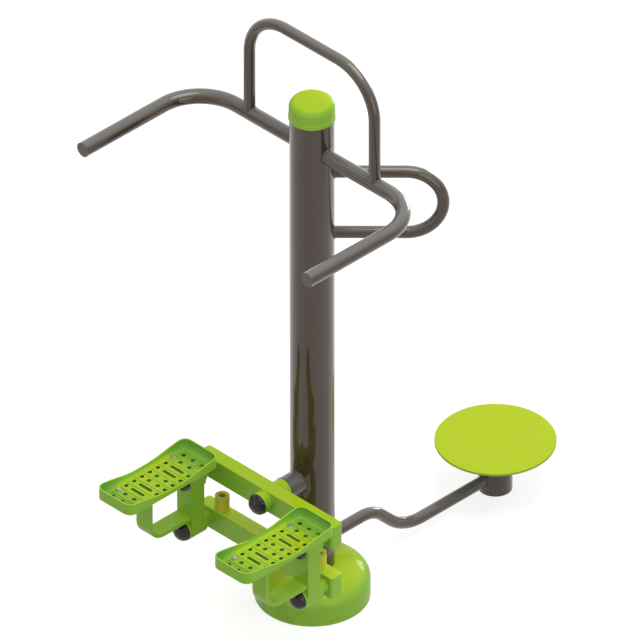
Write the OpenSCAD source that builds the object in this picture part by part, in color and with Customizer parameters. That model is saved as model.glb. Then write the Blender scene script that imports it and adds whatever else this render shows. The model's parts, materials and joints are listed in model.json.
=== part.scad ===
// Outdoor stepper and twister on one post. Millimetres.
// Origin: post axis on the ground. -Y is the stepper's side, +Y the twister's, Z is up.

/* [Post] */
// Outside diameter of the post tube
post_d = 114.3; // [88.9:0.1:140]
// Wall of the post tube
post_wall = 3; // [2:0.5:6]
// Height of the cap's lower edge
cap_z = 1469; // [1200:1:1700]
// Outside diameter of the cap
cap_d = 117.5; // [116:0.5:130]
// Height of the cap above its lower edge
cap_h = 55; // [40:1:90]
// Radius of the cap's rounded edge
cap_round = 21; // [5:1:30]
// How far the post reaches up inside the cap
cap_overlap = 31; // [10:1:36]

/* [Base] */
// Diameter of the base cover
cover_d = 296; // [240:1:360]
// Height of the cover's straight wall
cover_wall_h = 50; // [30:1:80]
// Rise of the cover's domed top
cover_dome_h = 51; // [20:1:70]
// Horizontal half axis of the dome's curve
cover_dome_r = 93; // [60:1:95]
// Thickness of the cover
cover_t = 2.5; // [1.5:0.5:5]
// Gap between the base plate and the cover
plate_gap = 5.5; // [3:0.5:10]
// Thickness of the base plate
plate_t = 10; // [6:1:20]
// Distance of the anchor holes from the plate's edge
anchor_inset = 30; // [20:1:36]
// Diameter of an anchor hole
anchor_d = 18; // [12:1:26]
// Height of a gusset
gusset_h = 68; // [40:1:72]
// Reach of a gusset beyond the post
gusset_reach = 62; // [40:1:70]
// Thickness of a gusset
gusset_t = 8; // [5:1:12]

/* [Handlebar] */
// Diameter of the handlebar tube
bar_d = 40; // [32:1:48]
// Wall of the handlebar tube
bar_wall = 2.5; // [2:0.5:4]
// Distance from the cap's lower edge down to the handlebar
bar_drop = 94.5; // [70:0.5:150]
// Half distance between the handlebar's legs
bar_x = 400; // [300:1:450]
// Reach of the legs towards the stepper's side
bar_reach = 414; // [250:1:500]
// Bend radius of the handlebar
bar_bend = 130; // [80:1:160]
// Thickness of an end plug's head
plug_t = 4; // [2:0.5:8]

/* [Arch loop] */
// Diameter of the arch tube
arch_d = 30; // [25:1:38]
// Half distance between the arch's uprights
arch_x = 223; // [150:1:260]
// Rise of the arch's top above the handlebar
arch_rise = 318; // [250:1:400]
// Bend radius of the arch
arch_bend = 128; // [60:1:150]
// Wall of the arch tube
arch_wall = 2.5; // [2:0.5:4]

/* [Side loops] */
// Diameter of a side loop's tube
loop_d = 32; // [25:1:40]
// Wall of a side loop's tube
loop_wall = 2.5; // [2:0.5:4]
// Distance from the cap's lower edge down to the loop's upper leg
loop_drop = 165.5; // [130:0.5:220]
// Distance between the loop's legs
loop_gap = 185; // [140:1:260]
// Distance from the post axis to the loop's outermost centre line
loop_reach = 330; // [250:1:400]
// Plan angle of the seen loop
loop_angle = 45; // [20:1:90]

/* [Twister] */
// Diameter of the twister arm
arm_d = 32; // [28:1:48]
// Wall of the twister arm
arm_wall = 3; // [2:0.5:5]
// Height of the arm at the post
arm_high = 149.5; // [120:0.5:200]
// Height of the arm at the hub
arm_low = 39.6; // [25:0.1:60]
// Distance from the post axis to the arm's upper corner
arm_corner = 216; // [180:1:260]
// Radius of the arm's upper bend
arm_bend = 100; // [60:1:110]
// Radius of the arm's lower bend
arm_low_bend = 160; // [80:1:180]
// Distance from the post axis to the twister's axis
twist_y = 657; // [560:1:760]
// Diameter of the hub tube
hub_d = 88.9; // [76:0.1:114]
// Wall of the hub tube
hub_wall = 4; // [3:0.5:8]
// Height of the hub tube's top
hub_top = 139.5; // [120:0.5:160]
// Diameter of the standing disc
disc_d = 312; // [260:1:360]
// Thickness of the standing disc
disc_t = 6.5; // [4:0.5:12]
// Height of the disc's top
disc_top = 149.5; // [130:0.5:180]
// Diameter of the twister's spindle
spindle_d = 35; // [25:1:45]
// Length of the spindle below the lower bearing
spindle_end = 10; // [8:1:14]
// Diameter of the flange under the disc
flange_d = 120; // [90:1:200]
// Gap between the hub tube and the flange
flange_gap = 0.7; // [0.4:0.1:2]
// Width of a twister bearing
hub_bearing_w = 18; // [12:1:24]
// Height of the lower bearing's underside
hub_bearing_z = 22; // [18:1:30]
// Distance of the upper bearing below the hub tube's top
hub_bearing_inset = 7.5; // [5:0.5:15]
// Width of the spindle's collar around it
collar_rim = 7; // [4:0.5:9]
// Height of the spindle's lower collar
collar_h = 4; // [3:0.5:6]

/* [Stepper beams] */
// Height of the upper pivot axis
up_z = 373; // [330:1:420]
// Height of the lower pivot axis
low_z = 217; // [190:1:240]
// Length of a beam
beam_len = 480; // [400:1:560]
// Height of a beam
beam_h = 63; // [60:1:70]
// Depth of a beam
beam_w = 41; // [38:1:50]
// Wall of a beam
beam_wall = 3; // [2:0.5:5]
// Corner radius of a beam
beam_round = 1.5; // [1:0.5:8]
// Plan radius of a beam's ends
end_round = 10; // [4:1:16]
// Thickness of a beam's closed end
beam_end = 9; // [8:1:14]
// Distance from the post axis to a beam's middle plane
beam_y = 148.5; // [140:0.5:180]
// Diameter of a beam's hub sleeve
sleeve_d = 57; // [50:1:59]
// Distance from the post axis to the sleeve's inner face
sleeve_in = 102; // [95:0.5:115]
// Diameter of the sleeve's collar behind the beam
sleeve_collar_d = 61; // [58:0.5:66]
// Distance from the post axis to the sleeve's outer face
sleeve_out = 192; // [170:0.5:220]
// Diameter of the stub on the post
stub_d = 63; // [56:0.5:66]
// Gap between stub and sleeve
stub_gap = 0.5; // [0.2:0.1:0.9]
// Diameter of a beam's axle
axle_d = 25; // [20:1:30]
// Outside diameter of a beam's bearing
bearing_d = 47; // [40:1:52]
// Width of a beam's bearing
bearing_w = 12; // [8:1:18]
// Diameter of a hub cap
hubcap_d = 56.5; // [48:0.5:57]
// Depth of a hub cap
hubcap_h = 22; // [12:1:30]

/* [Pedals] */
// Half distance between the pedals' pivots
pin_x = 209; // [180:1:225]
// Diameter of a pedal pin
pin_d = 20; // [16:1:25]
// Diameter of a pin's spacer
spacer_d = 40; // [30:1:46]
// Diameter of a bracket boss
boss_d = 57; // [45:1:58]
// Distance from the post axis to the boss's inner face
boss_in = 194.5; // [190:0.5:210]
// Distance from the post axis to the boss's outer face
boss_out = 256; // [240:1:280]
// Bore of a boss, for its bushes
boss_bore = 32; // [28:1:40]
// Length of a bush
bush_len = 20; // [12:1:24]
// Diameter of a pin cap
pincap_d = 56; // [48:0.5:57]
// Depth of a pin cap
pincap_h = 23; // [12:1:30]
// Width of the bracket's upright tube
upright_w = 54; // [36:1:56]
// Depth of the bracket's upright tube
upright_t = 44; // [36:0.5:48]
// Distance from the post axis to the upright's inner face
upright_in = 204.5; // [200:0.5:207]
// How far the bracket's head stands out around the upright
head_lip = 3; // [1:0.5:4]
// Height of the bracket's head under the tray
head_h = 61; // [45:1:66]
// Width of the bracket's flat bar
strap_w = 48; // [36:1:52]
// Thickness of the bracket's flat bar
strap_t = 11; // [6:1:14]
// Height of the flat bar's underside at the bottom
strap_z = 255.5; // [248:0.5:280]
// Distance from the post axis to the front leg's outer face
strap_out = 395.5; // [340:0.5:430]
// Outer bend radius of the flat bar
strap_bend = 52; // [20:1:60]

/* [Trays] */
// Width of a tray
tray_w = 126; // [100:1:150]
// Distance from the post axis to the tray's near end
tray_near = 184; // [178:0.5:200]
// Distance from the post axis to the tray's far end
tray_far = 502; // [450:1:560]
// Height of the tray's underside
tray_z = 413; // [405:0.5:420]
// Thickness of the tray's floor
tray_floor = 2.5; // [2:0.5:8]
// Thickness of the tray's wall
tray_wall = 4; // [2.5:0.5:6]
// Corner radius of the tray
tray_round = 23; // [8:1:30]
// Rim height above the underside at mid length
rim_mid = 11.5; // [8:0.5:30]
// Rim height above the underside at the far end
rim_far = 32; // [20:1:40]
// Rim height above the underside at the near end
rim_near = 29.5; // [20:0.5:40]
// Spacing of the hole rows
row_gap = 27.9; // [20:0.1:32]
// Distance from the post axis to the middle of the hole pattern
rows_y = 344; // [330:1:360]
// Diameter of a tray hole
hole_d = 12; // [8:0.5:16]
// Length of a tray slot
slot_len = 46; // [30:1:56]
// Width of a tray slot
slot_w = 9; // [6:0.5:12]
// Distance of the outer holes from the tray's middle
outer_hole_x = 41.5; // [35:0.5:44]
// Distance of the inner holes from the tray's middle
inner_hole_x = 16; // [12:0.5:20]
// Distance of the end rows' holes from the tray's middle
end_hole_x = 33; // [26:0.5:38]
// Diameter of a tray bolt
bolt_d = 8; // [6:1:10]
// Width of a tray bolt's head across its flats
bolt_head_w = 11; // [9:0.5:16]
// Height of a tray bolt's head
bolt_head_h = 3.5; // [2:0.5:7]
// Height of a floor rib
rib_h = 1.6; // [0.5:0.1:3]

/* [Buffers] */
// Diameter of a buffer
buffer_d = 38; // [30:1:38]
// Height of a buffer
buffer_h = 42; // [30:1:60]
// Bore of a buffer
buffer_bore = 19; // [15:1:24]
// Distance of a buffer from the middle of the beam
buffer_x = 174.5; // [120:0.5:178]
// Diameter of a buffer's screw
screw_d = 12; // [8:1:14]
// Thickness of a buffer's floor
buffer_floor = 8; // [5:0.5:12]
// Thickness of the washer in a buffer
screw_washer = 2; // [1:0.5:4]
// Height of the screw's head
screw_head = 7; // [5:0.5:10]
// Width of the screw's head across its flats
screw_head_w = 14; // [12:0.5:16]
// Height of the screw's nut inside the beam
screw_nut = 8; // [6:0.5:12]
// Width of the nut across its flats
screw_nut_w = 18; // [14:0.5:24]
// Length of the screw below its nut
screw_tail = 1; // [0.5:0.5:4]

/* [Fits] */
// Gap at a welded or seated round joint
seat = 0.05; // [0.02:0.01:0.3]
// Radial clearance of a shaft in its bearing
run = 0.05; // [0.02:0.01:0.1]
// End gap between parts that turn against each other
end_gap = 0.3; // [0.1:0.1:0.9]

/* [Hidden] */
$fn = 48;
post_r = post_d / 2;
bar_r = bar_d / 2;
cover_r = cover_d / 2;
plate_d = cover_d - 2 * (cover_t + plate_gap);
anchor_pcd = plate_d - 2 * anchor_inset;
bar_z = cap_z - bar_drop;
arch_z = bar_z + arch_rise;
loop_top = cap_z - loop_drop;
loop_low = loop_top - loop_gap;
loop_mid = (loop_top + loop_low) / 2;
loop_r = (loop_top - loop_low) / 2;
loop_c = loop_reach - loop_r;
beam_front = beam_y + beam_w / 2;
beam_back = beam_y - beam_w / 2;
post_top = cap_z + cap_overlap;
tray_len = tray_far - tray_near;
tray_mid = (tray_far + tray_near) / 2;
tray_top = tray_z + tray_floor;
upright_out = upright_in + upright_t;
washer_t = 3;
pin_end = boss_out - 0.7 - washer_t;
plate_pad_w = 104;
plate_pad_l = 40;
plate_pad_t = 8;
bar_under = 9.5;

// ---- helpers: round bars along an axis, sweeps and 2D outlines ----

module rod_x(y, z, x0, x1, r) {
    translate([x0, y, z])
        rotate([0, 90, 0])
            cylinder(r = r, h = x1 - x0);
}

module rod_y(x, z, y0, y1, r) {
    translate([x, y0, z])
        rotate([-90, 0, 0])
            cylinder(r = r, h = y1 - y0);
}

module rod_z(x, y, z0, z1, r) {
    translate([x, y, z0])
        cylinder(r = r, h = z1 - z0);
}

module box(x0, x1, y0, y1, z0, z1) {
    translate([x0, y0, z0])
        cube([x1 - x0, y1 - y0, z1 - z0]);
}

module bend(big, r, a) {
    rotate_extrude(angle = a)
        translate([big, 0])
            circle(r = r);
}

module ring(r, t) {
    difference() {
        circle(r = r);
        circle(r = r - t);
    }
}

module pipe_x(y, z, x0, x1, r, t) {
    translate([x0, y, z])
        rotate([0, 90, 0])
            linear_extrude(height = x1 - x0)
                ring(r, t);
}

module pipe_y(x, z, y0, y1, r, t) {
    translate([x, y0, z])
        rotate([-90, 0, 0])
            linear_extrude(height = y1 - y0)
                ring(r, t);
}

module pipe_bend(big, r, t, a) {
    rotate_extrude(angle = a)
        translate([big, 0])
            ring(r, t);
}

module along_x(x0, x1) {
    translate([x0, 0, 0])
        rotate([90, 0, 90])
            linear_extrude(height = x1 - x0)
                children();
}

function arc(cx, cy, r, a0, a1, n) = [
    for (i = [0:n]) [cx + r * cos(a0 + (a1 - a0) * i / n), cy + r * sin(a0 + (a1 - a0) * i / n)]
];

function oval(cx, cy, rx, ry, a0, a1, n) = [
    for (i = [0:n]) [cx + rx * cos(a0 + (a1 - a0) * i / n), cy + ry * sin(a0 + (a1 - a0) * i / n)]
];

function round_rect(w, h, r, n) = concat(
    arc(w / 2 - r, h / 2 - r, r, 0, 90, n),
    arc(-w / 2 + r, h / 2 - r, r, 90, 180, n),
    arc(-w / 2 + r, -h / 2 + r, r, 180, 270, n),
    arc(w / 2 - r, -h / 2 + r, r, 270, 360, n)
);

module hex_y(x, z, y0, y1, across) {
    translate([x, y0, z])
        rotate([-90, 0, 0])
            cylinder(r = across / sqrt(3), h = y1 - y0, $fn = 6);
}

module hex_z(x, y, z0, z1, across) {
    translate([x, y, z0])
        cylinder(r = across / sqrt(3), h = z1 - z0, $fn = 6);
}

// a hollow dome whose rim lies at y = -base and which bulges towards -Y
module dome_cap(x, z, base, d, h, t) {
    translate([x, -base, z])
        rotate([90, 0, 0])
            rotate_extrude()
                polygon(concat(
                    oval(0, 0, d / 2, h, 0, 90, 14),
                    oval(0, 0, d / 2 - t, h - t, 90, 0, 14)
                ));
}

// ---- base and post ----

module base_plate() {
    color([0.5, 0.52, 0.54])
        difference() {
            rod_z(0, 0, 0, plate_t, plate_d / 2);
            for (a = [45:90:315]) {
                rod_z(anchor_pcd / 2 * cos(a), anchor_pcd / 2 * sin(a), -1, plate_t + 1, anchor_d / 2);
            }
        }
}

module base_gussets() {
    color([0.36, 0.31, 0.28])
        difference() {
            for (a = [0:90:270]) {
                rotate([0, 0, a])
                    translate([0, gusset_t / 2, 0])
                        rotate([90, 0, 0])
                            linear_extrude(height = gusset_t)
                                polygon([
                                    [post_r - 3, plate_t],
                                    [post_r + gusset_reach, plate_t],
                                    [post_r + gusset_reach, plate_t + 12],
                                    [post_r + 10, plate_t + gusset_h],
                                    [post_r - 3, plate_t + gusset_h]
                                ]);
            }
            rod_z(0, 0, 0, plate_t + gusset_h + 10, post_r + seat);
        }
}

module post() {
    color([0.36, 0.31, 0.28])
        difference() {
            rod_z(0, 0, plate_t, post_top, post_r);
            rod_z(0, 0, plate_t - 1, post_top + 1, post_r - post_wall);
            rod_x(0, bar_z, -post_r - 5, post_r + 5, bar_r + seat);
            rod_y(0, up_z, -post_r - 5, 0, axle_d / 2 + seat);
            rod_y(0, low_z, -post_r - 5, 0, axle_d / 2 + seat);
        }
}

module base_cover() {
    cx = cover_r - cover_dome_r;
    a1 = acos((post_r + 0.15 - cx) / cover_dome_r);
    a2 = acos((post_r + 0.15 - cx) / (cover_dome_r - cover_t));
    color([0.62, 0.79, 0.2])
        rotate_extrude()
            polygon(concat(
                [[cover_r, 0]],
                oval(cx, cover_wall_h, cover_dome_r, cover_dome_h, 0, a1, 18),
                oval(cx, cover_wall_h, cover_dome_r - cover_t, cover_dome_h - cover_t, a2, 0, 18),
                [[cover_r - cover_t, 0]]
            ));
}

module post_cap() {
    r = cap_d / 2;
    top = cap_z + cap_h;
    color([0.62, 0.79, 0.2])
        rotate_extrude()
            polygon(concat(
                [[post_r + 0.1, cap_z], [r + 0.9, cap_z], [r + 0.9, cap_z + 11], [r, cap_z + 12]],
                arc(r - cap_round, top - cap_round, cap_round, 0, 90, 10),
                [[0, top], [0, top - 4], [r - cap_round, top - 4]],
                [[post_r - 8, post_top + 6], [post_r - 8, post_top], [post_r + 0.1, post_top]]
            ));
}

// ---- handlebar, arch and side loops ----

module handlebar() {
    c = bar_x - bar_bend;
    color([0.36, 0.31, 0.28]) {
        pipe_x(0, bar_z, -c, c, bar_r, bar_wall);
        translate([c, -bar_bend, bar_z])
            pipe_bend(bar_bend, bar_r, bar_wall, 90);
        translate([-c, -bar_bend, bar_z])
            rotate([0, 0, 90])
                pipe_bend(bar_bend, bar_r, bar_wall, 90);
        pipe_y(bar_x, bar_z, -bar_reach + plug_t, -bar_bend, bar_r, bar_wall);
        pipe_y(-bar_x, bar_z, -bar_reach + plug_t, -bar_bend, bar_r, bar_wall);
    }
}

module handlebar_plugs() {
    color([0.2, 0.17, 0.18])
        for (s = [-1, 1]) {
            rod_y(s * bar_x, bar_z, -bar_reach, -bar_reach + plug_t, bar_r);
            rod_y(s * bar_x, bar_z, -bar_reach + plug_t, -bar_reach + plug_t + 14, bar_r - bar_wall - 0.1);
        }
}

module arch_path(r, under) {
    c = arch_x - arch_bend;
    rod_x(0, arch_z, -c, c, r);
    translate([c, 0, arch_z - arch_bend])
        rotate([90, 0, 0])
            bend(arch_bend, r, 90);
    translate([-c, 0, arch_z - arch_bend])
        rotate([90, 0, 0])
            rotate([0, 0, 90])
                bend(arch_bend, r, 90);
    rod_z(arch_x, 0, bar_z + under, arch_z - arch_bend, r);
    rod_z(-arch_x, 0, bar_z + under, arch_z - arch_bend, r);
}

module arch_loop() {
    color([0.36, 0.31, 0.28])
        difference() {
            arch_path(arch_d / 2, 5);
            arch_path(arch_d / 2 - arch_wall, 4);
            rod_x(0, bar_z, -arch_x - arch_d, arch_x + arch_d, bar_r + seat);
        }
}

module loop_path(r, start) {
    for (z = [loop_low, loop_top]) {
        rod_x(0, z, start, loop_c, r);
    }
    translate([loop_c, 0, loop_mid])
        rotate([90, 0, 0])
            rotate([0, 0, -90])
                bend(loop_r, r, 180);
}

module side_loop(a) {
    color([0.36, 0.31, 0.28])
        rotate([0, 0, a])
            difference() {
                loop_path(loop_d / 2, post_r - 12);
                loop_path(loop_d / 2 - loop_wall, post_r - 14);
                rod_z(0, 0, loop_low - loop_d, loop_top + loop_d, post_r + seat);
            }
}

module side_loop_right() {
    side_loop(loop_angle);
}

module side_loop_left() {
    side_loop(180 - loop_angle);
}

// ---- stubs and axles on the post ----

module stub(z) {
    color([0.36, 0.31, 0.28])
        difference() {
            rod_y(0, z, -sleeve_in + stub_gap, -post_r + 14, stub_d / 2);
            rod_z(0, 0, z - stub_d, z + stub_d, post_r + seat);
            rod_y(0, z, -sleeve_in - 1, 0, axle_d / 2 + seat);
        }
}

module upper_stub() {
    stub(up_z);
}

module lower_stub() {
    stub(low_z);
}

module axle(z) {
    e = sleeve_out - 4 + end_gap;
    color([0.7, 0.71, 0.73]) {
        rod_y(0, z, -e, -post_r + 12, axle_d / 2);
        rod_y(0, z, -e - washer_t, -e, 18);
        hex_y(0, z, -e - washer_t - 8, -e - washer_t, 24);
    }
}

module upper_axle() {
    axle(up_z);
}

module lower_axle() {
    axle(low_z);
}

// ---- twister ----

module arm_piece(radius, long) {
    translate([radius, 0, 0])
        rotate([-90, 0, 0])
            linear_extrude(height = long)
                ring(arm_d / 2, arm_wall);
}

module arm_path() {
    t = arm_bend * tan(22.5);
    t_low = arm_low_bend * tan(22.5);
    drop = arm_high - arm_low;
    diag = drop * sqrt(2) - t - t_low;
    translate([0, arm_corner - t, arm_high - arm_bend])
        rotate([90, 0, 90])
            rotate([0, 0, 45]) {
                rotate([0, 0, 45])
                    arm_piece(arm_bend, arm_corner - t - post_r + 6);
                pipe_bend(arm_bend, arm_d / 2, arm_wall, 45);
                translate([0, -diag, 0])
                    arm_piece(arm_bend, diag);
                translate([arm_bend + arm_low_bend, -diag, 0])
                    rotate([0, 0, 180]) {
                        pipe_bend(arm_low_bend, arm_d / 2, arm_wall, 45);
                        rotate([0, 0, 45])
                            arm_piece(arm_low_bend, twist_y - hub_d / 2 + 10 - arm_corner - drop - t_low);
                    }
            }
}

module twister_arm() {
    color([0.36, 0.31, 0.28])
        difference() {
            arm_path();
            rod_z(0, 0, arm_high - arm_d, arm_high + arm_d, post_r + seat);
            rod_z(0, twist_y, -1, arm_low + arm_d, hub_d / 2 + seat);
        }
}

module twister_hub() {
    color([0.36, 0.31, 0.28])
        difference() {
            rod_z(0, twist_y, 0, hub_top, hub_d / 2);
            rod_z(0, twist_y, -1, hub_top + 1, hub_d / 2 - hub_wall);
        }
}

module twister_foot() {
    color([0.5, 0.52, 0.54])
        rod_z(0, twist_y, 0, 6, hub_d / 2 - hub_wall - seat);
}

module twister_bearings() {
    r = hub_d / 2 - hub_wall - seat;
    top = hub_top - hub_bearing_inset;
    color([0.7, 0.71, 0.73])
        difference() {
            union() {
                rod_z(0, twist_y, hub_bearing_z, hub_bearing_z + hub_bearing_w, r);
                rod_z(0, twist_y, top - hub_bearing_w, top, r);
            }
            rod_z(0, twist_y, 0, hub_top, spindle_d / 2 + run);
        }
}

module twister_spindle() {
    under = disc_top - disc_t;
    low = hub_bearing_z - end_gap;
    high = hub_top - hub_bearing_inset + end_gap;
    color([0.7, 0.71, 0.73]) {
        rod_z(0, twist_y, hub_bearing_z - spindle_end, under, spindle_d / 2);
        rod_z(0, twist_y, low - collar_h, low, spindle_d / 2 + collar_rim);
        rod_z(0, twist_y, high, hub_top + flange_gap, spindle_d / 2 + collar_rim);
        rod_z(0, twist_y, hub_top + flange_gap, under, flange_d / 2);
    }
}

module twister_disc() {
    r = disc_d / 2;
    under = disc_top - disc_t;
    color([0.74, 0.82, 0.16])
        translate([0, twist_y, 0])
            rotate_extrude()
                polygon([
                    [0, under], [r - 0.8, under], [r, under + 0.8],
                    [r, disc_top - 1.2], [r - 1.2, disc_top], [0, disc_top]
                ]);
}

// ---- stepper beams ----

module beam(z) {
    color([0.55, 0.76, 0.18])
        difference() {
            intersection() {
                translate([0, -beam_y, z])
                    along_x(-beam_len / 2, beam_len / 2)
                        polygon(round_rect(beam_w, beam_h, beam_round, 5));
                translate([0, -beam_y, z - beam_h])
                    linear_extrude(height = 2 * beam_h)
                        polygon(round_rect(beam_len, beam_w + 0.6, end_round, 6));
            }
            box(-beam_len / 2 + beam_end, beam_len / 2 - beam_end,
                -beam_front + beam_wall, -beam_back - beam_wall,
                z - beam_h / 2 + beam_wall, z + beam_h / 2 - beam_wall);
            rod_y(0, z, -beam_front - 1, -beam_back + 1, sleeve_d / 2 + seat);
            for (s = [-1, 1]) {
                rod_y(s * pin_x, z, -beam_front - 1, -beam_back + 1, pin_d / 2 + seat);
            }
            if (z == low_z) {
                for (s = [-1, 1]) {
                    rod_z(s * buffer_x, -beam_y, z, z + beam_h, screw_d / 2 + seat);
                }
            }
        }
}

module upper_beam() {
    beam(up_z);
}

module lower_beam() {
    beam(low_z);
}

module sleeve(z) {
    color([0.55, 0.76, 0.18])
        difference() {
            union() {
                rod_y(0, z, -sleeve_out, -sleeve_in, sleeve_d / 2);
                rod_y(0, z, -beam_back + seat, -sleeve_in, sleeve_collar_d / 2);
            }
            rod_y(0, z, -sleeve_out - 1, -sleeve_in + 1, bearing_d / 2);
        }
}

module upper_sleeve() {
    sleeve(up_z);
}

module lower_sleeve() {
    sleeve(low_z);
}

module bearings(z) {
    color([0.6, 0.61, 0.63])
        difference() {
            union() {
                rod_y(0, z, -sleeve_out + 4, -sleeve_out + 4 + bearing_w, bearing_d / 2 - 0.02);
                rod_y(0, z, -sleeve_in - bearing_w, -sleeve_in, bearing_d / 2 - 0.02);
            }
            rod_y(0, z, -sleeve_out - 1, -sleeve_in + 1, axle_d / 2 + run);
        }
}

module upper_bearings() {
    bearings(up_z);
}

module lower_bearings() {
    bearings(low_z);
}

module upper_hub_cap() {
    color([0.12, 0.1, 0.11])
        dome_cap(0, up_z, sleeve_out, hubcap_d, hubcap_h, 2.5);
}

module lower_hub_cap() {
    color([0.12, 0.1, 0.11])
        dome_cap(0, low_z, sleeve_out, hubcap_d, hubcap_h, 2.5);
}

module pins(z) {
    color([0.7, 0.71, 0.73])
        for (s = [-1, 1]) {
            rod_y(s * pin_x, z, -pin_end, -beam_back, pin_d / 2);
            rod_y(s * pin_x, z, -pin_end - washer_t, -pin_end, 14);
            hex_y(s * pin_x, z, -pin_end - washer_t - 7, -pin_end - washer_t, 19);
        }
}

module spacers(z) {
    color([0.55, 0.76, 0.18])
        for (s = [-1, 1]) {
            difference() {
                rod_y(s * pin_x, z, -boss_in + end_gap, -beam_front, spacer_d / 2);
                rod_y(s * pin_x, z, -boss_in, -beam_front + 1, pin_d / 2 + seat);
            }
        }
}

module upper_pins() {
    pins(up_z);
}

module lower_pins() {
    pins(low_z);
}

module upper_spacers() {
    spacers(up_z);
}

module lower_spacers() {
    spacers(low_z);
}

// ---- buffers on the lower beam ----

module buffers() {
    z0 = low_z + beam_h / 2;
    color([0.8, 0.76, 0.16])
        for (s = [-1, 1]) {
            difference() {
                rod_z(s * buffer_x, -beam_y, z0, z0 + buffer_h, buffer_d / 2);
                rod_z(s * buffer_x, -beam_y, z0 + buffer_floor, z0 + buffer_h + 1, buffer_bore / 2);
                rod_z(s * buffer_x, -beam_y, z0 - 1, z0 + buffer_floor + 1, screw_d / 2 + seat);
            }
        }
}

module buffer_screws() {
    z0 = low_z + beam_h / 2;
    seat_z = z0 + buffer_floor;
    inside = z0 - beam_wall;
    color([0.7, 0.71, 0.73])
        for (s = [-1, 1]) {
            rod_z(s * buffer_x, -beam_y, inside - screw_nut - screw_tail, seat_z, screw_d / 2);
            rod_z(s * buffer_x, -beam_y, seat_z, seat_z + screw_washer, buffer_bore / 2 - 0.5);
            hex_z(s * buffer_x, -beam_y, seat_z + screw_washer, seat_z + screw_washer + screw_head,
                screw_head_w);
            hex_z(s * buffer_x, -beam_y, inside - screw_nut, inside, screw_nut_w);
        }
}

// ---- pedals: bracket, bushes, tray, bolts and caps ----

module strap_outline() {
    inner = strap_bend - strap_t;
    polygon(concat(
        [[-upright_out + 1, strap_z + strap_t]],
        arc(-strap_out + strap_bend, strap_z + strap_bend, inner, 270, 180, 8),
        [[-strap_out + strap_t, tray_z - 1], [-strap_out, tray_z - 1]],
        arc(-strap_out + strap_bend, strap_z + strap_bend, strap_bend, 180, 270, 8),
        [[-upright_out + 1, strap_z]]
    ));
}

module bracket(x) {
    front_row = rows_y + 3.5 * row_gap;
    near_row = rows_y - 3.5 * row_gap;
    color([0.55, 0.76, 0.18])
        difference() {
            union() {
                rod_y(x, up_z, -boss_out, -boss_in, boss_d / 2);
                rod_y(x, low_z, -boss_out, -boss_in, boss_d / 2);
                box(x - upright_w / 2, x + upright_w / 2, -upright_out, -upright_in, low_z, tray_z - 1);
                box(x - upright_w / 2 - head_lip, x + upright_w / 2 + head_lip, -upright_out - head_lip,
                    -upright_in + head_lip, tray_z - head_h, tray_z - 1);
                along_x(x - strap_w / 2, x + strap_w / 2)
                    strap_outline();
                box(x - strap_w / 2, x + strap_w / 2, -front_row - 20, -upright_in,
                    tray_z - bar_under, tray_z);
                for (y = [front_row, near_row]) {
                    box(x - plate_pad_w / 2, x + plate_pad_w / 2, -y - plate_pad_l / 2, -y + plate_pad_l / 2,
                        tray_z - plate_pad_t, tray_z);
                }
            }
            rod_y(x, up_z, -boss_out - 1, -boss_in + 1, boss_bore / 2);
            rod_y(x, low_z, -boss_out - 1, -boss_in + 1, boss_bore / 2);
            box(x - upright_w / 2 + 3, x + upright_w / 2 - 3, -upright_out + 3, -upright_in - 3,
                low_z + boss_d / 2 + 2, up_z - boss_d / 2 - 2);
            for (sx = [-1, 1]) {
                for (y = [front_row, near_row]) {
                    rod_z(x + sx * outer_hole_x, -y, tray_z - 20, tray_z + 1, bolt_d / 2 + 0.25);
                }
            }
        }
}

module left_bracket() {
    bracket(-pin_x);
}

module right_bracket() {
    bracket(pin_x);
}

module bushes(x) {
    color([0.72, 0.55, 0.25])
        for (z = [low_z, up_z]) {
            difference() {
                union() {
                    rod_y(x, z, -boss_in - bush_len, -boss_in, boss_bore / 2 - seat);
                    rod_y(x, z, -pin_end + end_gap, -pin_end + end_gap + bush_len, boss_bore / 2 - seat);
                }
                rod_y(x, z, -boss_out - 1, -boss_in + 1, pin_d / 2 + run);
            }
        }
}

module left_bushes() {
    bushes(-pin_x);
}

module right_bushes() {
    bushes(pin_x);
}

// rim height above the underside at distance y from the post axis: a cosine that rises to both ends
function rim(y) =
    let (u = abs(y - tray_mid) / (tray_len / 2))
    let (top = y > tray_mid ? rim_far : rim_near)
    rim_mid + (top - rim_mid) * (1 - cos(180 * u)) / 2;

module slot(x, y) {
    translate([x, y, tray_z - 1])
        linear_extrude(height = tray_floor + 5)
            polygon(concat(
                arc(slot_len / 2 - slot_w / 2, 0, slot_w / 2, -90, 90, 8),
                arc(-slot_len / 2 + slot_w / 2, 0, slot_w / 2, 90, 270, 8)
            ));
}

module hole(x, y, r) {
    rod_z(x, y, tray_z - 1, tray_top + rib_h + 1, r);
}

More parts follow.
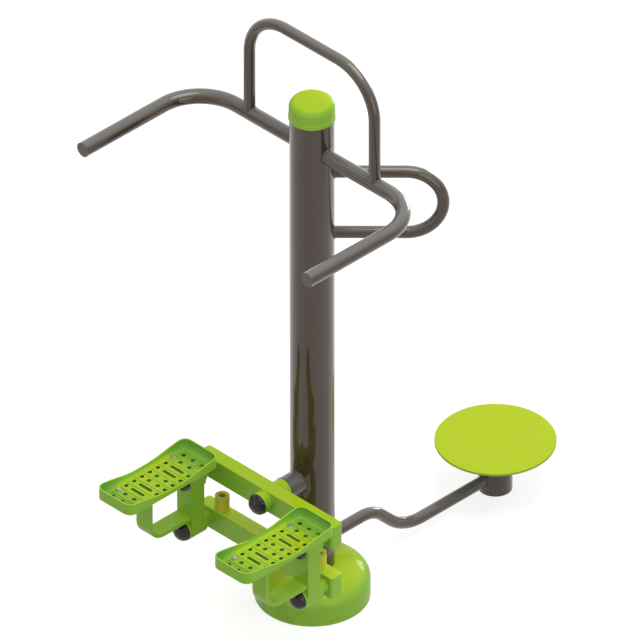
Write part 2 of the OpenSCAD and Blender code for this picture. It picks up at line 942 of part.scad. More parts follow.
module tray(x) {
    n = 24;
    color([0.66, 0.82, 0.2])
        difference() {
            union() {
                difference() {
                    translate([x, -tray_mid, tray_z])
                        linear_extrude(height = rim_far + 5)
                            polygon(round_rect(tray_w, tray_len, tray_round, 8));
                    translate([x, -tray_mid, tray_top])
                        linear_extrude(height = rim_far + 5)
                            polygon(round_rect(tray_w - 2 * tray_wall, tray_len - 2 * tray_wall,
                                tray_round - tray_wall, 8));
                    along_x(x - tray_w, x + tray_w)
                        polygon(concat(
                            [[-tray_near + tray_wall, tray_z + rim_near]],
                            [for (i = [0:n]) [-tray_near - tray_len * i / n,
                                tray_z + rim(tray_near + tray_len * i / n)]],
                            [[-tray_far - tray_wall, tray_z + rim_far],
                                [-tray_far - tray_wall, tray_z + 2 * rim_far]],
                            [[-tray_near + tray_wall, tray_z + 2 * rim_far]]
                        ));
                }
                for (i = [1:9]) {
                    box(x - tray_w / 2 + tray_wall - 1, x + tray_w / 2 - tray_wall + 1,
                        -rows_y + (i - 5) * row_gap - 1.6, -rows_y + (i - 5) * row_gap + 1.6,
                        tray_top - 1, tray_top + rib_h);
                }
            }
            for (i = [1:10]) {
                y = -rows_y + (i - 5.5) * row_gap;
                if (i == 1 || i == 10) {
                    for (dx = [-end_hole_x, 0, end_hole_x]) {
                        hole(x + dx, y, hole_d / 2);
                    }
                }
                if (i == 2 || i == 9) {
                    for (s = [-1, 1]) {
                        hole(x + s * outer_hole_x, y, bolt_d / 2 + 0.25);
                        hole(x + s * inner_hole_x, y, hole_d / 2);
                    }
                }
                if (i > 2 && i < 9) {
                    for (s = [-1, 1]) {
                        hole(x + s * outer_hole_x, y, hole_d / 2);
                    }
                }
                if (i == 3 || i == 4 || i == 7 || i == 8) {
                    slot(x, y);
                }
                if (i == 5 || i == 6) {
                    for (s = [-1, 1]) {
                        hole(x + s * inner_hole_x, y, hole_d / 2);
                    }
                }
            }
        }
}

module left_tray() {
    tray(-pin_x);
}

module right_tray() {
    tray(pin_x);
}

module tray_bolts(x) {
    color([0.75, 0.76, 0.78])
        for (sx = [-1, 1]) {
            for (sy = [-1, 1]) {
                bx = x + sx * outer_hole_x;
                by = -rows_y + sy * 3.5 * row_gap;
                rod_z(bx, by, tray_z - plate_pad_t - 9, tray_top, bolt_d / 2);
                rod_z(bx, by, tray_top, tray_top + 1.2, bolt_head_w / 2 + 1.5);
                hex_z(bx, by, tray_top + 1.2, tray_top + 1.2 + bolt_head_h, bolt_head_w);
                hex_z(bx, by, tray_z - plate_pad_t - 6.5, tray_z - plate_pad_t, 13);
            }
        }
}

module left_tray_bolts() {
    tray_bolts(-pin_x);
}

module right_tray_bolts() {
    tray_bolts(pin_x);
}

module pin_caps(x) {
    color([0.12, 0.1, 0.11])
        for (z = [low_z, up_z]) {
            dome_cap(x, z, boss_out, pincap_d, pincap_h, 2.5);
        }
}

module left_pin_caps() {
    pin_caps(-pin_x);
}

module right_pin_caps() {
    pin_caps(pin_x);
}

base_plate();
base_gussets();
post();
base_cover();
post_cap();
handlebar();
handlebar_plugs();
arch_loop();
side_loop_right();
side_loop_left();
upper_stub();
lower_stub();
upper_axle();
lower_axle();
twister_arm();
twister_hub();
twister_foot();
twister_bearings();
twister_spindle();
twister_disc();
upper_beam();
upper_sleeve();
upper_bearings();
upper_hub_cap();
upper_pins();
upper_spacers();
lower_beam();
lower_sleeve();
lower_bearings();
lower_hub_cap();
lower_pins();
lower_spacers();
buffers();
buffer_screws();
left_bracket();
left_bushes();
left_tray();
left_tray_bolts();
left_pin_caps();
right_bracket();
right_bushes();
right_tray();
right_tray_bolts();
right_pin_caps();
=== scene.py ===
import json
import math

import bpy
import numpy as np
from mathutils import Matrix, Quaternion, Vector


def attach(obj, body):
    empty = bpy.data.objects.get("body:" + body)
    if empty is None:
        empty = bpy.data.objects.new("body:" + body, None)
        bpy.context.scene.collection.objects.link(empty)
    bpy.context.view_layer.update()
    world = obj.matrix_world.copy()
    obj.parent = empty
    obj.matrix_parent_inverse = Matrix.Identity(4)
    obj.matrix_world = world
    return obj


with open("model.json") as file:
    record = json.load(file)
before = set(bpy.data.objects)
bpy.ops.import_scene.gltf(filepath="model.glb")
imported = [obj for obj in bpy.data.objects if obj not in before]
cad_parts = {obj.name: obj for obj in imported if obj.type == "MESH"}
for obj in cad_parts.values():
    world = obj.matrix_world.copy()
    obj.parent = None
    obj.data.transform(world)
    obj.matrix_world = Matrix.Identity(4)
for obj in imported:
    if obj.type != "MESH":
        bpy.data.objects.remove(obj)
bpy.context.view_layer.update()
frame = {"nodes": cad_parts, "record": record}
nodes = frame["nodes"]
print("frame loaded:", len(nodes), "nodes")


class Sock:
    # one output of a node, so that node trees read like sums
    def __init__(self, tree, socket):
        self.tree, self.socket = tree, socket

    def __add__(self, other):
        return self.tree.math("ADD", self, other)

    def __radd__(self, other):
        return self.tree.math("ADD", other, self)

    def __sub__(self, other):
        return self.tree.math("SUBTRACT", self, other)

    def __rsub__(self, other):
        return self.tree.math("SUBTRACT", other, self)

    def __mul__(self, other):
        return self.tree.math("MULTIPLY", self, other)

    def __rmul__(self, other):
        return self.tree.math("MULTIPLY", other, self)

    def __pow__(self, other):
        return self.tree.math("POWER", self, other)

    def ramp(self, low, high, toLow=0.0, toHigh=1.0):
        return self.tree.make("ShaderNodeMapRange", {"interpolation_type": "SMOOTHSTEP"},
                              {0: self, 1: low, 2: high, 3: toLow, 4: toHigh})

    def fade(self, low, high):
        return self.ramp(low, high, 1.0, 0.0)


class Tree:
    def __init__(self, nodeTree):
        self.nodes, self.links = nodeTree.nodes, nodeTree.links
        self.nodes.clear()

    def feed(self, target, value):
        if isinstance(value, Sock):
            self.links.new(value.socket, target)
        else:
            target.default_value = value

    def make(self, kind, settings, inputs, output=0):
        node = self.nodes.new(kind)
        for key, value in settings.items():
            setattr(node, key, value)
        for key, value in inputs.items():
            self.feed(node.inputs[key], value)
        return Sock(self, node.outputs[output])

    def math(self, operation, a, b):
        return self.make("ShaderNodeMath", {"operation": operation}, {0: a, 1: b})

    def end(self, kind, surface):
        self.feed(self.nodes.new(kind).inputs[0], surface)

    def backdropRays(self):
        # 1 for a ray that shows the background: the camera's own, a mirrored one or one through glass
        seen = self.make("ShaderNodeLightPath", {}, {}, "Is Camera Ray")
        for kind in ("Is Glossy Ray", "Is Transmission Ray"):
            seen = self.math("MAXIMUM", seen, self.make("ShaderNodeLightPath", {}, {}, kind))
        return seen


class Shader(Tree):
    sockets = {"color": "Base Color", "rough": "Roughness", "metal": "Metallic", "coat": "Coat Weight",
               "coatRough": "Coat Roughness", "coatIor": "Coat IOR", "specular": "Specular IOR Level",
               "normal": "Normal"}

    def __init__(self, name):
        self.material = bpy.data.materials.new(name)
        self.material.use_nodes = True
        super().__init__(self.material.node_tree)
        self.body = self.nodes.new("ShaderNodeBsdfPrincipled")
        self.end("ShaderNodeOutputMaterial", Sock(self, self.body.outputs[0]))
        self.place = self.make("ShaderNodeTexCoord", {}, {}, "Object")

    def noise(self, scale, detail, stretch=(1, 1, 1)):
        where = self.make("ShaderNodeVectorMath", {"operation": "MULTIPLY"}, {0: self.place, 1: stretch})
        return self.make("ShaderNodeTexNoise", {}, {"Vector": where, "Scale": scale, "Detail": detail}, "Fac")

    def mix(self, factor, a, b):
        return self.make("ShaderNodeMix", {"data_type": "RGBA"}, {0: factor, 6: a, 7: b}, 2)

    def upward(self):
        normal = self.make("ShaderNodeNewGeometry", {}, {}, "Normal")
        return self.make("ShaderNodeSeparateXYZ", {}, {0: normal}, "Z")

    def axis(self, letter):
        return self.make("ShaderNodeSeparateXYZ", {}, {0: self.place}, letter)

    def away(self, value, middle):
        return self.make("ShaderNodeMath", {"operation": "ABSOLUTE"}, {0: value - middle})

    def bump(self, height, strength, distance):
        return self.make("ShaderNodeBump", {}, {"Strength": strength, "Distance": distance, "Height": height})

    def set(self, **inputs):
        for key, value in inputs.items():
            self.feed(self.body.inputs[self.sockets[key]], value)
        return self.material


# what all paints share, their wear and their painted top light; a noise is its scale and detail, a ramp is
# where it starts and where it is full
wearAndTopLight = {
    "cloudDetail": 4.0, "topLightFull": 0.98, "topLightEven": 0.8, "topLightCloud": 0.2,
    "dirtHeight": 0.16, "dirtNoise": (38.0, 6.0), "dirtRamp": (0.42, 0.75), "dirtColor": (0.16, 0.14, 0.1, 1),
    "scuffNoise": (140.0, 2.0), "scuffRamp": (0.66, 0.72),
    "roughCloud": 0.08, "roughDirt": 0.25, "roughScuff": 0.05, "coatDirt": 0.4,
    "peelDetail": 2.0, "peelDepth": 0.0004,
}


def paint(name, look):
    s = Shader(name)
    cloud = s.noise(look["cloudScale"], wearAndTopLight["cloudDetail"])
    even = wearAndTopLight["topLightEven"] + wearAndTopLight["topLightCloud"] * cloud
    # upward faces get the lighter top colour, a painted top light and highlight; the other faces keep the side
    # colour
    color = s.mix(s.upward().ramp(look["topLightFrom"], wearAndTopLight["topLightFull"]) * even, look["side"], look["top"])
    low = s.axis("Z").fade(0.0, wearAndTopLight["dirtHeight"])
    dirt = low * s.noise(*wearAndTopLight["dirtNoise"]).ramp(*wearAndTopLight["dirtRamp"]) * look["dirt"]
    color = s.mix(dirt, color, wearAndTopLight["dirtColor"])
    scuff = s.noise(*wearAndTopLight["scuffNoise"]).ramp(*wearAndTopLight["scuffRamp"])
    rough = look["rough"] + wearAndTopLight["roughCloud"] * cloud + wearAndTopLight["roughDirt"] * dirt + wearAndTopLight["roughScuff"] * scuff
    peel = s.noise(look["peelScale"], wearAndTopLight["peelDetail"])
    return s.set(color=color, rough=rough, coat=look["coat"] - wearAndTopLight["coatDirt"] * dirt,
                 coatRough=look["coatRough"], coatIor=look["coatIor"], specular=look["specular"],
                 normal=s.bump(peel, look["peel"], wearAndTopLight["peelDepth"]))


# each paint's top colour is painted light on its upward faces, and its side colour is the paint itself
paints = {
    "brown": {"side": (0.052, 0.029, 0.018, 1), "top": (0.16, 0.157, 0.146, 1), "topLightFrom": 0.3,
              "cloudScale": 7.0, "dirt": 0.35, "rough": 0.3, "peelScale": 620.0, "peel": 0.03,
              "coat": 1.0, "coatRough": 0.07, "coatIor": 1.5, "specular": 0.1},
    "lime": {"side": (0.29, 0.56, 0.045, 1), "top": (0.46, 0.68, 0.006, 1), "topLightFrom": 0.55,
             "cloudScale": 9.0, "dirt": 0.2, "rough": 0.42, "peelScale": 560.0, "peel": 0.03,
             "coat": 0.25, "coatRough": 0.05, "coatIor": 1.5, "specular": 0.1},
    "disc": {"side": (0.28, 0.5, 0.012, 1), "top": (0.53, 0.68, 0.006, 1), "topLightFrom": 0.55,
             "cloudScale": 11.0, "dirt": 0.0, "rough": 0.6, "peelScale": 480.0, "peel": 0.06,
             "coat": 0.03, "coatRough": 0.3, "coatIor": 1.5, "specular": 0.3},
}

# in metres from a tray's middle and from its floor; the core is the tray's inside without its round corners
trayLook = {
    # of these colours the top is a painted top light, the deep green a painted shade, the edge colour a painted
    # highlight and the darkest green the painted shade in the holes
    "side": (0.27, 0.56, 0.04, 1), "top": (0.4, 0.66, 0.01, 1), "worn": (0.6, 0.68, 0.02, 1),
    "deep": (0.12, 0.38, 0.05, 1), "edge": (0.56, 0.78, 0.06, 1), "holeWallShade": (0.05, 0.2, 0.03, 1),
    "middleX": 0.209, "middleY": -0.343, "floor": 0.4155, "coreX": 0.04, "coreY": 0.136,
    "cornerFade": (0.0193, 0.0203), "treadFade": (0.075, 0.135), "upRamp": (0.15, 0.95),
    "wallRamp": (0.0025, 0.004), "crestRamp": (0.0012, 0.0015), "crestFade": (0.0018, 0.002),
    "holeWallShadeFade": (-0.0004, 0.0001),
    "cloud": (16.0, 4.0), "smearNoise": (46.0, 3.0, (1.0, 0.35, 1.0)), "smearRamp": (0.42, 0.66),
    "scratchNoise": (260.0, 2.0, (0.25, 1.0, 1.0)), "scratchRamp": (0.6, 0.7),
    "topLightEnds": 0.45, "topLightTread": 0.55, "wornShare": 0.6, "endShadeShare": 0.35, "endShadeCloud": 0.4,
    "wallShadeShare": 0.35, "rimHighlightShare": 0.5, "rough": 0.44, "roughSmear": 0.14, "roughScratch": 0.1,
    "peelNoise": (560.0, 2.0), "peelScratch": 0.8, "peel": 0.04, "peelDepth": 0.0004,
    "coat": 0.2, "coatRough": 0.07, "coatIor": 1.5, "specular": 0.15,
}


def trayPaint(name, look):
    # the tread is worn and gets the most painted top light, the ends and inner walls get a painted shade of
    # deeper green, the rim a painted highlight, and the holes' walls a dark painted shade
    s = Shader(name)
    z, floor = s.axis("Z"), look["floor"]

    def above(span):
        return z.ramp(floor + span[0], floor + span[1])

    def below(span):
        return z.fade(floor + span[0], floor + span[1])

    x, y = s.away(s.away(s.axis("X"), 0.0), look["middleX"]), s.away(s.axis("Y"), look["middleY"])
    overX, overY = s.math("MAXIMUM", x - look["coreX"], 0.0), s.math("MAXIMUM", y - look["coreY"], 0.0)
    inside = ((overX * overX + overY * overY) ** 0.5).fade(*look["cornerFade"])
    tread = y.fade(*look["treadFade"])
    up = s.upward().ramp(*look["upRamp"])
    cloud = s.noise(*look["cloud"])
    smear = s.noise(*look["smearNoise"]).ramp(*look["smearRamp"])
    # upward faces get the top colour, a painted top light, more of it on the tread
    color = s.mix(up * (look["topLightEnds"] + look["topLightTread"] * tread), look["side"], look["top"])
    color = s.mix(up * inside * tread * smear * look["wornShare"], color, look["worn"])
    # painted shade: the floor's ends towards the walls turn a patchy deeper green
    deep = (1.0 - tread) * inside * (look["endShadeShare"] + look["endShadeCloud"] * cloud)
    color = s.mix(deep, color, look["deep"])
    # painted shade: the inner walls turn deeper green
    color = s.mix((1.0 - up) * inside * above(look["wallRamp"]) * look["wallShadeShare"], color, look["deep"])
    # painted highlight: upward faces outside the tray's inside, and a thin band just above the floor, get the
    # light edge colour
    crest = above(look["crestRamp"]) * below(look["crestFade"])
    color = s.mix(up * (1.0 - (1.0 - crest) * inside) * look["rimHighlightShare"], color, look["edge"])
    # painted shade: side faces inside the tray below the floor, the holes' walls, turn dark green
    color = s.mix((1.0 - up) * inside * below(look["holeWallShadeFade"]), color, look["holeWallShade"])
    scratch = s.noise(*look["scratchNoise"]).ramp(*look["scratchRamp"]) * up * tread
    rough = look["rough"] + look["roughSmear"] * smear * tread + look["roughScratch"] * scratch
    height = s.noise(*look["peelNoise"]) + look["peelScratch"] * scratch
    return s.set(color=color, rough=rough, coat=look["coat"], coatRough=look["coatRough"],
                 coatIor=look["coatIor"], specular=look["specular"],
                 normal=s.bump(height, look["peel"], look["peelDepth"]))


steelGrain = {"detail": 5.0, "rough": 0.18, "depth": 0.0003, "paintRough": 0.1, "paintEdge": 0.001}


def steel(name, look, tray=None):
    s = Shader(name)
    grain = s.noise(look["scale"], steelGrain["detail"], look["stretch"])
    color, metal = s.mix(grain, look["dark"], look["light"]), 1.0
    rough = look["rough"] + steelGrain["rough"] * grain
    if tray:
        # the bolts at the +X side of each tray are painted over with it
        x, middle, edge = s.axis("X"), tray["middleX"], steelGrain["paintEdge"]
        over = x.ramp(middle - edge, middle + edge)
        over = over + x.ramp(-middle - edge, -middle + edge) * x.fade(-edge, edge)
        color, metal = s.mix(over, color, tray["top"]), 1.0 - over
        rough = rough + steelGrain["paintRough"] * over
    return s.set(color=color, metal=metal, rough=rough, normal=s.bump(grain, look["bump"], steelGrain["depth"]))


steels = {
    "zinc": {"dark": (0.28, 0.29, 0.3, 1), "light": (0.52, 0.53, 0.54, 1), "scale": 60.0,
             "stretch": (1, 1, 1), "rough": 0.36, "bump": 0.08},
    "bright": {"dark": (0.45, 0.45, 0.46, 1), "light": (0.72, 0.72, 0.73, 1), "scale": 90.0,
               "stretch": (1, 6, 1), "rough": 0.2, "bump": 0.05},
    "bronze": {"dark": (0.4, 0.24, 0.08, 1), "light": (0.62, 0.42, 0.18, 1), "scale": 80.0,
               "stretch": (1, 5, 1), "rough": 0.28, "bump": 0.05},
}

plasticGrain = {"cloudDetail": 4.0, "roughCloud": 0.15, "noise": (900.0, 2.0), "depth": 0.0003}


def plastic(name, look):
    s = Shader(name)
    cloud = s.noise(look["scale"], plasticGrain["cloudDetail"])
    return s.set(color=s.mix(cloud, look["dark"], look["light"]), coat=look["coat"], specular=look["specular"],
                 rough=look["rough"] + plasticGrain["roughCloud"] * cloud,
                 normal=s.bump(s.noise(*plasticGrain["noise"]), look["bump"], plasticGrain["depth"]))


plastics = {
    "black": {"dark": (0.012, 0.009, 0.011, 1), "light": (0.03, 0.024, 0.027, 1), "scale": 30.0,
              "rough": 0.12, "coat": 0.3, "specular": 0.15, "bump": 0.03},
    "yellow": {"dark": (0.6, 0.57, 0.03, 1), "light": (0.7, 0.67, 0.05, 1), "scale": 45.0,
               "rough": 0.4, "coat": 0.1, "specular": 0.25, "bump": 0.1},
    # a dark green that stands in for the shade in the tray's holes: painted shade
    "holeShade": {"dark": (0.04, 0.14, 0.02, 1), "light": (0.06, 0.19, 0.03, 1), "scale": 60.0,
            "rough": 0.8, "coat": 0.0, "specular": 0.3, "bump": 0.1},
}

looks = {
    "brown_paint": paint("brownPaint", paints["brown"]),
    "lime_paint": paint("limePaint", paints["lime"]),
    "tray_paint": trayPaint("trayPaint", trayLook),
    "disc_paint": paint("discPaint", paints["disc"]),
    "zinc_steel": steel("zincSteel", steels["zinc"]),
    "bright_steel": steel("brightSteel", steels["bright"]),
    "bush_bronze": steel("bushBronze", steels["bronze"]),
    "black_plastic": plastic("blackPlastic", plastics["black"]),
    "yellow_rubber": plastic("yellowRubber", plastics["yellow"]),
}
holeShadeLook = plastic("holeShadePaint", plastics["holeShade"])

# painted light: the brackets under the treads get a greener top colour, and the lower beam's top and sides are
# painted lighter to undo the shade of the upper beam above it
shadedLook = paint("shadedPaint", {**paints["lime"], "top": (0.45, 0.75, 0.06, 1)})
lowerLook = paint("lowerPaint", {**paints["lime"], "side": (0.34, 0.62, 0.055, 1),
                                 "top": (0.68, 0.88, 0.045, 1)})
boltLook = steel("boltSteel", steels["bright"], trayLook)
ownLooks = {"left_bracket": shadedLook, "right_bracket": shadedLook, "lower_beam": lowerLook,
            "left_tray_bolts": boltLook, "right_tray_bolts": boltLook}

slots = {entry["node"]: entry["material_slot"] for entry in frame["record"]["subparts"]}
for name, obj in nodes.items():
    obj.data.materials.clear()
    obj.data.materials.append(ownLooks.get(name, looks[slots[name]]))
    obj.data.shade_smooth()
print("materials on", len(nodes), "nodes")


def meshFrom(name, points, faces, slot, body, material=None):
    data = bpy.data.meshes.new(name)
    data.from_pydata([tuple(p) for p in points], [], [tuple(f) for f in faces])
    data.update()
    data.shade_smooth()
    obj = bpy.data.objects.new(name, data)
    bpy.context.scene.collection.objects.link(obj)
    data.materials.append(material or looks[slot])
    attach(obj, body)
    return obj


def fullTurn(steps):
    return np.linspace(0, 2 * math.pi, steps, endpoint=False)


def gridFaces(rows, columns):
    # quads between rings of points, closed both ways
    faces = []
    for i in range(rows):
        for j in range(columns):
            a, b = i * columns + j, i * columns + (j + 1) % columns
            c, d = ((i + 1) % rows) * columns + (j + 1) % columns, ((i + 1) % rows) * columns + j
            faces.append((a, b, c, d))
    return faces


def closedSweep(path, radii, sides):
    # each ring is centre + radius * (cos q * n + sin q * b), n and b square to the path's tangent
    path = np.asarray(path, float)
    tangent = np.roll(path, -1, 0) - np.roll(path, 1, 0)
    tangent /= np.linalg.norm(tangent, axis=1)[:, None]
    out = path - path.mean(0)
    out -= (out * tangent).sum(1)[:, None] * tangent
    out /= np.linalg.norm(out, axis=1)[:, None]
    side = np.cross(tangent, out)
    turn = fullTurn(sides)
    ring = np.cos(turn)[None, :, None] * out[:, None, :] + np.sin(turn)[None, :, None] * side[:, None, :]
    points = path[:, None, :] + np.asarray(radii, float)[:, None, None] * ring
    return points.reshape(-1, 3), gridFaces(len(path), sides)


# each weld on a round tube: name, the way the joined tube points, its radius and its height
welds = {
    "steps": 120, "sides": 8, "thick": 0.0021, "ripple": 0.16, "ripples": 30, "apart": 0.0006,
    "postRadius": 0.05715,
    "onPost": [
        ("barRight", (1, 0, 0), 0.020, 1.3745), ("barLeft", (-1, 0, 0), 0.020, 1.3745),
        ("loopRightTop", (0.7071, 0.7071, 0), 0.016, 1.3035),
        ("loopRightLow", (0.7071, 0.7071, 0), 0.016, 1.1185),
        ("loopLeftTop", (-0.7071, 0.7071, 0), 0.016, 1.3035),
        ("loopLeftLow", (-0.7071, 0.7071, 0), 0.016, 1.1185),
        ("armPost", (0, 1, 0), 0.016, 0.1495),
        ("upperStub", (0, -1, 0), 0.0315, 0.373), ("lowerStub", (0, -1, 0), 0.0315, 0.217),
    ],
    "hub": {"middle": (0, 0.657, 0), "hubRadius": 0.04445, "along": (0, -1, 0), "radius": 0.0166, "z": 0.0396},
    "arch": {"x": 0.223, "radius": 0.0156, "barZ": 1.3745, "barRadius": 0.02},
    "sleeves": {"z": {"upper_rocker": 0.373, "lower_rocker": 0.217}, "thin": 0.8,
                "ends": (("Back", -0.1276, 0.0308), ("Front", -0.1694, 0.0288))},
}


def weld(name, path, slot, body, thin=1.0):
    ripple = np.abs(np.sin(fullTurn(welds["steps"]) * welds["ripples"] / 2))
    radii = welds["thick"] * (1 + welds["ripple"] * ripple)
    points, faces = closedSweep(path, thin * radii, welds["sides"])
    meshFrom(name, points, faces, slot, body)


def saddle(centre, post, along, r, z, steps):
    # the curve where a tube of radius r along "along" meets an upright tube of radius "post"
    turn = fullTurn(steps)
    along = np.asarray(along, float)
    across = np.array([-along[1], along[0], 0.0])
    side, rise = r * np.cos(turn), r * np.sin(turn)
    out = np.sqrt(post ** 2 - side ** 2)
    return (np.asarray(centre, float)[None, :] + out[:, None] * along + side[:, None] * across
            + (z + rise)[:, None] * np.array([0, 0, 1.0]))


for title, along, r, z in welds["onPost"]:
    path = saddle((0, 0, 0), welds["postRadius"], along, r + welds["apart"], z, welds["steps"])
    weld("bead" + title[0].upper() + title[1:], path, "brown_paint", "stand")

hub = welds["hub"]
path = saddle(hub["middle"], hub["hubRadius"], hub["along"], hub["radius"], hub["z"], welds["steps"])
weld("beadArmHub", path, "brown_paint", "stand")

turn = fullTurn(welds["steps"])
arch = welds["arch"]
for side, x in (("Right", arch["x"]), ("Left", -arch["x"])):
    dx, dy = arch["radius"] * np.cos(turn), arch["radius"] * np.sin(turn)
    path = np.stack([x + dx, dy, arch["barZ"] + np.sqrt(arch["barRadius"] ** 2 - dy ** 2)], 1)
    weld("beadArch" + side, path, "brown_paint", "stand")

sleeves = welds["sleeves"]
for body, z in sleeves["z"].items():
    for tag, y, r in sleeves["ends"]:
        path = np.stack([r * np.cos(turn), np.full(len(turn), y), z + r * np.sin(turn)], 1)
        weld("beadSleeve" + body.split("_")[0] + tag, path, "lime_paint", body, sleeves["thin"])
print("weld beads made")

# rows count from the end away from the post; the outer and corner holes go through, and so does the first
# row's middle one, while the others are blind
trayForm = {
    "middleX": 0.209, "middleY": -0.343, "underside": 0.413, "floor": 0.4155,
    "wallX": 0.059, "wallY": 0.155, "corner": 0.019, "cornerSteps": 17, "sunk": 0.0003,
    "sideFillet": 0.0085, "endFillet": 0.0175, "filletSteps": 10, "widenFrom": 0.72, "widenSpan": 0.28,
    "rowsY": -0.344, "rowGap": 0.0279, "rowCount": 10, "rowMiddle": 5.5,
    "outer": 0.0415, "inner": 0.016, "ends": 0.033,
    "outerRows": range(2, 8), "endRows": (0, 9), "openRow": 0,
    "innerRows": (1, 4, 5, 8), "blindRow": 9, "slotRows": (2, 3, 6, 7),
    "holeRadius": 0.006, "holeSteps": 36, "slotHalf": 0.0185, "slotRadius": 0.0045, "slotTwist": 0.001,
    "lipThick": 0.0014, "lipDepth": 0.0072, "curlSteps": 7,
    "lipFlare": ((0, -0.001), (0.0004, -0.0002), (0.0005, 0)),
    "sheetGap": 0.0001, "sheetLift": 0.00002, "sheetThick": 0.0005,
}


def lathe(profile, x, y, steps):
    # each profile point (r, z) turned about the upright line through x, y
    profile = np.asarray(profile, float)
    turn = fullTurn(steps)
    rings = np.stack([x + profile[:, :1] * np.cos(turn), y + profile[:, :1] * np.sin(turn),
                      np.repeat(profile[:, 1:2], steps, 1)], 2)
    return rings.reshape(-1, 3), gridFaces(len(profile), steps)


def gather(parts):
    points, faces, start = [], [], 0
    for some, ids in parts:
        points.append(some)
        faces += [tuple(i + start for i in f) for f in ids]
        start += len(some)
    return np.concatenate(points), faces


def roundedLoop(halfX, halfY, corner, steps):
    # a rectangle with quarter-circle corners, counter-clockwise, and the outward direction at each point
    spots, outward = [], []
    for k, (sx, sy) in enumerate(((1, 1), (-1, 1), (-1, -1), (1, -1))):
        for a in np.linspace(k * math.pi / 2, (k + 1) * math.pi / 2, steps):
            n = (math.cos(a), math.sin(a))
            spots.append((sx * (halfX - corner) + corner * n[0], sy * (halfY - corner) + corner * n[1]))
            outward.append(n)
    return np.array(spots), np.array(outward)


def trayRows(look):
    return [look["rowsY"] + (i - look["rowMiddle"]) * look["rowGap"] for i in range(1, look["rowCount"] + 1)]


def holeLips(look, x):
    # the curled edge that each punched hole leaves under the tray
    rows = trayRows(look)
    spots = [(s * look["outer"], rows[i]) for i in look["outerRows"] for s in (-1, 1)]
    spots += [(s * look["ends"], rows[i]) for i in look["endRows"] for s in (-1, 1)]
    spots.append((0.0, rows[look["openRow"]]))
    r, t, top, deep = look["holeRadius"], look["lipThick"], look["underside"], look["lipDepth"]
    curl = [(r + t / 2 - t / 2 * math.cos(a), top - deep + t / 2 - t / 2 * math.sin(a))
            for a in np.linspace(0, math.pi, look["curlSteps"])]
    profile = [(r, top)] + curl + [(r + t + dr, top + dz) for dr, dz in look["lipFlare"]]
    return gather([lathe(profile, x + dx, y, look["holeSteps"]) for dx, y in spots])


def trayFillet(look, x):
    # a hollow quarter circle between floor and wall, carried round the inside; it widens towards both ends
    b = look["sunk"]
    spots, outward = roundedLoop(look["wallX"], look["wallY"], look["corner"], look["cornerSteps"])
    angles = np.linspace(0, math.pi / 2, look["filletSteps"])
    rings = []
    for (px, py), (nx, ny) in zip(spots, outward):
        u = min(max((abs(py) / look["wallY"] - look["widenFrom"]) / look["widenSpan"], 0), 1)
        f = look["sideFillet"] + (look["endFillet"] - look["sideFillet"]) * u * u * (3 - 2 * u)
        profile = [(f - f * math.sin(a), f - f * math.cos(a)) for a in angles] + [(-b, f), (-b, -b), (f, -b)]
        rings.append([(x + px - d * nx, look["middleY"] + py - d * ny, look["floor"] + h)
                      for d, h in profile])
    rings = np.array(rings)
    return rings.reshape(-1, 3), gridFaces(rings.shape[0], rings.shape[1])


def sheetPrism(outline, x, y, z0, z1):
    n = len(outline)
    points = [(x + px, y + py, z) for z in (z0, z1) for px, py in outline]
    sides = [(i, (i + 1) % n, n + (i + 1) % n, n + i) for i in range(n)]
    return np.array(points), sides + [tuple(range(n - 1, -1, -1)), tuple(range(n, 2 * n))]


def holeShadeSheets(look, x):
    # thin dark sheets on the bar at the bottom of the blind holes and slots, a painted shade that fills them
    rows, turn = trayRows(look), fullTurn(look["holeSteps"])
    hole, r, half = look["holeRadius"] - look["sheetGap"], look["slotRadius"] - look["sheetGap"], look["slotHalf"]
    disc = [(hole * math.cos(a), hole * math.sin(a)) for a in turn]
    # the small twist keeps every point clearly on one of the slot's two round ends
    slot = [((half if math.cos(a) > 0 else -half) + r * math.cos(a), r * math.sin(a))
            for a in turn + look["slotTwist"]]
    z0, z1 = look["underside"] + look["sheetLift"], look["underside"] + look["sheetThick"]
    spots = [(s * look["inner"], rows[i]) for i in look["innerRows"] for s in (-1, 1)]
    spots.append((0.0, rows[look["blindRow"]]))
    parts = [sheetPrism(disc, x + dx, y, z0, z1) for dx, y in spots]
    return gather(parts + [sheetPrism(slot, x, rows[i], z0, z1) for i in look["slotRows"]])


for side, sign in (("left", -1), ("right", 1)):
    middle, body = sign * trayForm["middleX"], side + "_pedal"
    # the hole lips and the sheets both take the dark green of painted shade
    meshFrom("holeLips" + side.title(), *holeLips(trayForm, middle), "tray_paint", body, holeShadeLook)
    shadeSheets = meshFrom("holeShadeSheets" + side.title(), *holeShadeSheets(trayForm, middle), "black_plastic", body, holeShadeLook)
    shadeSheets.data.shade_flat()
    meshFrom("trayFillet" + side.title(), *trayFillet(trayForm, middle), "tray_paint", body)
print("tray lips, pads and fillets made")

# a long lens stands in for the photograph's parallel projection; heading, tilt and roll are in degrees, the
# distances in metres, and rightward and upward are the photograph's axes in the frame
shot = {"lens": 1500.0, "sensor": 36.0, "clipStart": 1.0, "clipEnd": 400.0, "distance": 67.726,
        "right": 0.01758, "up": 0.69215, "rightward": (1, 1, 0), "upward": (-1, 1, 2),
        "heading": 45.321, "tilt": 35.201, "roll": -0.047}
camera = bpy.data.objects.new("camera", bpy.data.cameras.new("camera"))
bpy.context.scene.collection.objects.link(camera)
bpy.context.scene.camera = camera
heading, tilt = math.radians(shot["heading"]), math.radians(shot["tilt"])
toCamera = Vector((math.sin(heading) * math.cos(tilt), -math.cos(heading) * math.cos(tilt), math.sin(tilt)))
target = (Vector(shot["rightward"]).normalized() * shot["right"]
          + Vector(shot["upward"]).normalized() * shot["up"])
camera.data.lens, camera.data.sensor_width = shot["lens"], shot["sensor"]
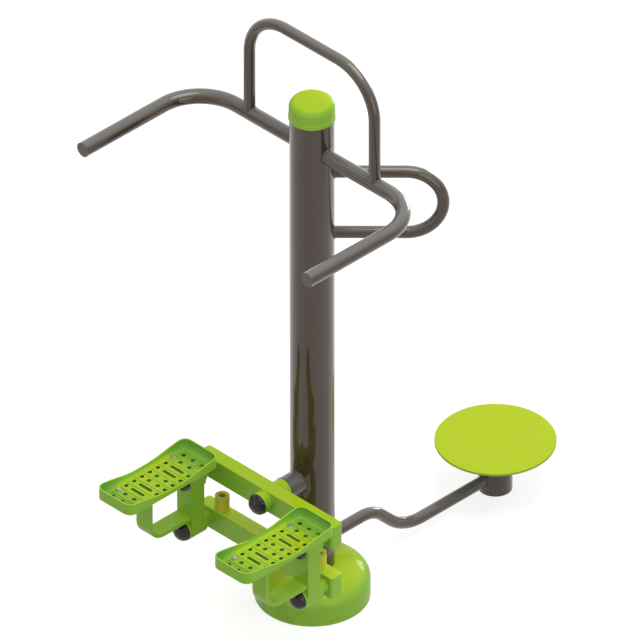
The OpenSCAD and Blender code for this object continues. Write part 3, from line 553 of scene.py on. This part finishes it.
camera.data.clip_start, camera.data.clip_end = shot["clipStart"], shot["clipEnd"]
camera.location = target + toCamera * shot["distance"]
camera.rotation_mode = "QUATERNION"
level = (-toCamera).to_track_quat("-Z", "Y")
camera.rotation_quaternion = level @ Quaternion((0, 0, 1), math.radians(shot["roll"]))

lampAim = Vector((0, 0, 0.8))
lamps = {
    "top": {"at": (0.8, 0.4, 4.6), "size": 2.4, "power": 60.0, "color": (1.0, 0.97, 0.92)},
    "right": {"at": (4.4, -0.6, 1.9), "size": 3.0, "power": 41.0, "color": (0.97, 1.0, 0.98)},
    "front": {"at": (-1.6, -4.6, 1.6), "size": 3.0, "power": 20.0, "color": (1.0, 0.84, 0.62)},
    "back": {"at": (-1.0, 4.4, 1.15), "size": 1.5, "power": 44.0, "color": (1.0, 1.0, 1.0)},
}
for title, lamp in lamps.items():
    data = bpy.data.lights.new(title + "Lamp", "AREA")
    data.shape, data.size = "DISK", lamp["size"]
    data.energy, data.color = lamp["power"], lamp["color"]
    obj = bpy.data.objects.new(title + "Lamp", data)
    bpy.context.scene.collection.objects.link(obj)
    obj.location = lamp["at"]
    obj.visible_camera = False
    obj.rotation_mode = "QUATERNION"
    obj.rotation_quaternion = (Vector(lamp["at"]) - lampAim).to_track_quat("Z", "Y")

# the floor and the room look white in the picture, but light the object as plain, dimmer ones
floorLook = {"half": 14.0, "drop": 0.0006, "color": (0.34, 0.34, 0.34, 1), "rough": 0.9,
             "glow": (1, 1, 1, 1), "glowStrength": 0.78, "dim": (0.36, 0.36, 0.36, 1)}
half, low = floorLook["half"], -floorLook["drop"]
floorData = bpy.data.meshes.new("floor")
floorData.from_pydata([(-half, -half, low), (half, -half, low), (half, half, low), (-half, half, low)], [],
                      [(0, 1, 2, 3)])
floor = bpy.data.objects.new("floor", floorData)
bpy.context.scene.collection.objects.link(floor)
floorPale = bpy.data.materials.new("floorPale")
floorPale.use_nodes = True
ground = Tree(floorPale.node_tree)
dim = ground.make("ShaderNodeBsdfDiffuse", {}, {"Color": floorLook["dim"]})
bright = ground.make("ShaderNodeBsdfPrincipled", {}, {
    "Base Color": floorLook["color"], "Roughness": floorLook["rough"],
    "Emission Color": floorLook["glow"], "Emission Strength": floorLook["glowStrength"]})
ground.end("ShaderNodeOutputMaterial",
           ground.make("ShaderNodeMixShader", {}, {0: ground.backdropRays(), 1: dim, 2: bright}))
floorData.materials.append(floorPale)

roomLook = {"dim": (1.0, 0.98, 0.92, 1), "dimStrength": 0.57, "white": (1, 1, 1, 1), "whiteStrength": 1.0}
world = bpy.data.worlds.new("studio")
bpy.context.scene.world = world
world.use_nodes = True
room = Tree(world.node_tree)
dim, white = [room.make("ShaderNodeBackground", {}, {"Color": roomLook[kind],
                                                     "Strength": roomLook[kind + "Strength"]})
              for kind in ("dim", "white")]
room.end("ShaderNodeOutputWorld",
         room.make("ShaderNodeMixShader", {}, {0: room.backdropRays(), 1: dim, 2: white}))
bpy.context.scene.view_settings.view_transform = "Standard"
print("camera, lamps and world set")
